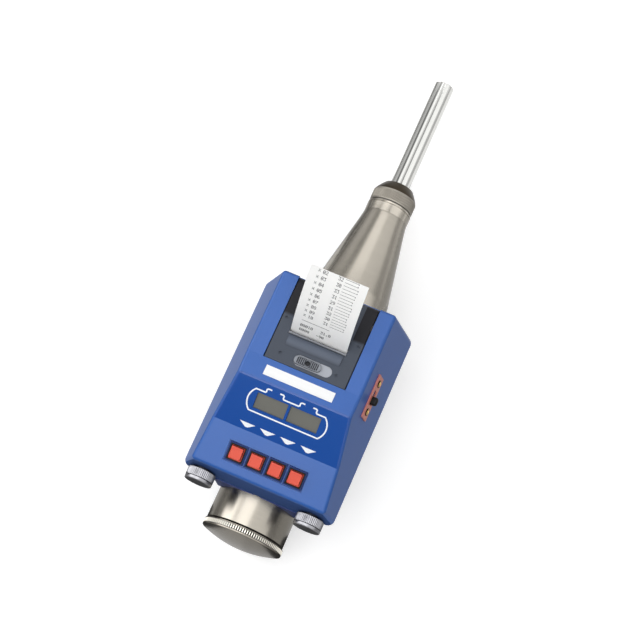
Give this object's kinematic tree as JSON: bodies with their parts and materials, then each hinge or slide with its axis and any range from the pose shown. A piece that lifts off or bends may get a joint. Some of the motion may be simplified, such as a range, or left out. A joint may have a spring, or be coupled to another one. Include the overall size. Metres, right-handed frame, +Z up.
{
  "type": "concrete test hammer",
  "caption": "Spring-driven concrete test hammer: a long plunger in a tapered metal tube, with a sloped printer box, keys, displays and a paper strip saddled on top.",
  "frame": {"origin": "on the ground under the middle of the whole length, in the middle plane of the tube", "axes": "+Y along the plunger to its tip, +Z up, +X to the right of someone who looks along +Y"},
  "size_m": [0.1114, 0.3846, 0.1613],
  "materials": {
    "satin_nickel": "satin",
    "dark_metal": "satin, darkened",
    "polished_steel": "polished",
    "steel": "turned",
    "spring_sleeve": "plain sleeve in place of the wound wire",
    "felt": "felt",
    "red_plastic": "satin",
    "blue_cast": "painted",
    "blue_plastic": "fine grained",
    "knurled_aluminium": "knurled",
    "grey_plastic": "satin",
    "pale_plastic": "satin",
    "black_plastic": "satin",
    "white_plastic": "smooth",
    "paper": "paper, uncoated",
    "rubber": "ground",
    "board": "lacquered",
    "display": "smooth",
    "salmon_plate": "satin",
    "brass": "turned",
    "cell_jacket": "printed jacket"
  },
  "bodies": {
    "housing": {"housing": "satin_nickel", "rear_cap": "satin_nickel", "trip_screw": "steel", "lock_nut": "steel", "nose_ring": "dark_metal", "felt_seal": "felt", "spring_seat": "steel", "impact_spring": "spring_sleeve", "compression_spring": "spring_sleeve", "lock_bush": "steel", "lock_spring": "steel", "sensor_rail": "steel", "base_saddle": "blue_cast", "clamp_straps": "blue_cast", "strap_screws": "steel", "upper_case": "blue_plastic", "cover_pin": "steel", "printer_frame": "black_plastic", "motor": "steel", "print_head": "black_plastic", "main_board": "board", "display_board": "board", "lcd_modules": "display", "label_plate": "white_plastic", "key_bezels": "black_plastic", "key_board": "board", "switch_plate": "salmon_plate", "switch_screws": "brass", "switch_body": "steel", "battery_tray": "black_plastic", "battery_cells": "cell_jacket"},
    "plunger_set": {"plunger": "polished_steel", "split_ring": "steel", "buffer_spring": "steel", "guide_rod": "steel", "carrier_disc": "steel", "pawl_pin": "steel"},
    "pawl": {"pawl": "steel"},
    "hammer_mass": {"hammer_mass": "steel"},
    "lock_button": {"lock_button": "dark_metal"},
    "rider": {"rider": "red_plastic"},
    "printer_cover": {"printer_cover": "grey_plastic", "tear_bar": "steel", "latch_plate": "pale_plastic", "paper_strip": "paper"},
    "latch": {"latch_slide": "grey_plastic"},
    "key_1": {"key_1": "red_plastic"},
    "key_2": {"key_2": "red_plastic"},
    "key_3": {"key_3": "red_plastic"},
    "key_4": {"key_4": "red_plastic"},
    "switch_knob": {"switch_knob": "black_plastic"},
    "platen": {"platen_roller": "rubber", "platen_shaft": "steel", "platen_gear": "pale_plastic"},
    "motor_rotor": {"motor_pinion": "brass"},
    "paper_roll": {"paper_roll": "paper", "paper_spindle": "pale_plastic"},
    "thumbscrew_left": {"thumbscrew_left": "knurled_aluminium"},
    "thumbscrew_right": {"thumbscrew_right": "knurled_aluminium"}
  },
  "joints": [
    {"name": "plunger_slide", "type": "slide", "parent": "housing", "child": "plunger_set", "axis": [0, 1, 0], "range_m": [-0.075, 0], "stiffness_N_per_m": 250, "deforming": ["compression_spring", "impact_spring"]},
    {"name": "mass_slide", "type": "slide", "parent": "plunger_set", "child": "hammer_mass", "axis": [0, 1, 0], "range_m": [0, 0.075], "deforming": ["impact_spring"]},
    {"name": "pawl_swing", "type": "hinge", "parent": "plunger_set", "child": "pawl", "pos_m": [-0.0166, -0.0837, 0.0367], "axis": [0, 0, -1], "range_deg": [0, 13]},
    {"name": "lock_press", "type": "slide", "parent": "housing", "child": "lock_button", "axis": [0, 0, 1], "range_m": [0, 0.003], "stiffness_N_per_m": 300, "deforming": ["lock_spring"]},
    {"name": "rider_slide", "type": "slide", "parent": "housing", "child": "rider", "axis": [0, -1, 0], "range_m": [0, 0.07]},
    {"name": "cover_hinge", "type": "hinge", "parent": "housing", "child": "printer_cover", "pos_m": [0, -0.0223, 0.1112], "axis": [-1, 0, 0], "range_deg": [0, 95]},
    {"name": "latch_slide", "type": "slide", "parent": "printer_cover", "child": "latch", "axis": [1, 0, 0], "range_m": [0, 0.006]},
    {"name": "key_1_press", "type": "slide", "parent": "housing", "child": "key_1", "axis": [0, 0.3229, -0.9464], "range_m": [0, 0.0015], "stiffness_N_per_m": 300},
    {"name": "key_2_press", "type": "slide", "parent": "housing", "child": "key_2", "axis": [0, 0.3229, -0.9464], "range_m": [0, 0.0015], "stiffness_N_per_m": 300},
    {"name": "key_3_press", "type": "slide", "parent": "housing", "child": "key_3", "axis": [0, 0.3229, -0.9464], "range_m": [0, 0.0015], "stiffness_N_per_m": 300},
    {"name": "key_4_press", "type": "slide", "parent": "housing", "child": "key_4", "axis": [0, 0.3229, -0.9464], "range_m": [0, 0.0015], "stiffness_N_per_m": 300},
    {"name": "switch_slide", "type": "slide", "parent": "housing", "child": "switch_knob", "axis": [0, 1, 0], "range_m": [0, 0.004]},
    {"name": "platen_turn", "type": "hinge", "parent": "housing", "child": "platen", "pos_m": [0, -0.0609, 0.1008], "axis": [-1, 0, 0], "continuous": true},
    {"name": "motor_turn", "type": "hinge", "parent": "housing", "child": "motor_rotor", "pos_m": [0, -0.07041, 0.09253], "axis": [-1, 0, 0], "continuous": true},
    {"name": "paper_roll_turn", "type": "hinge", "parent": "housing", "child": "paper_roll", "pos_m": [0, -0.0409, 0.0968], "axis": [-1, 0, 0], "continuous": true},
    {"name": "thumbscrew_left_turn", "type": "hinge", "parent": "housing", "child": "thumbscrew_left", "pos_m": [-0.0402, -0.1583, 0.0727], "axis": [0, 1, 0], "continuous": true},
    {"name": "thumbscrew_right_turn", "type": "hinge", "parent": "housing", "child": "thumbscrew_right", "pos_m": [0.0402, -0.1583, 0.0727], "axis": [0, 1, 0], "continuous": true}
  ],
  "couplings": [
    {"joint": "motor_turn", "follows": "platen_turn", "ratio": -2.5},
    {"joint": "paper_roll_turn", "follows": "platen_turn", "ratio": 0.37037}
  ]
}
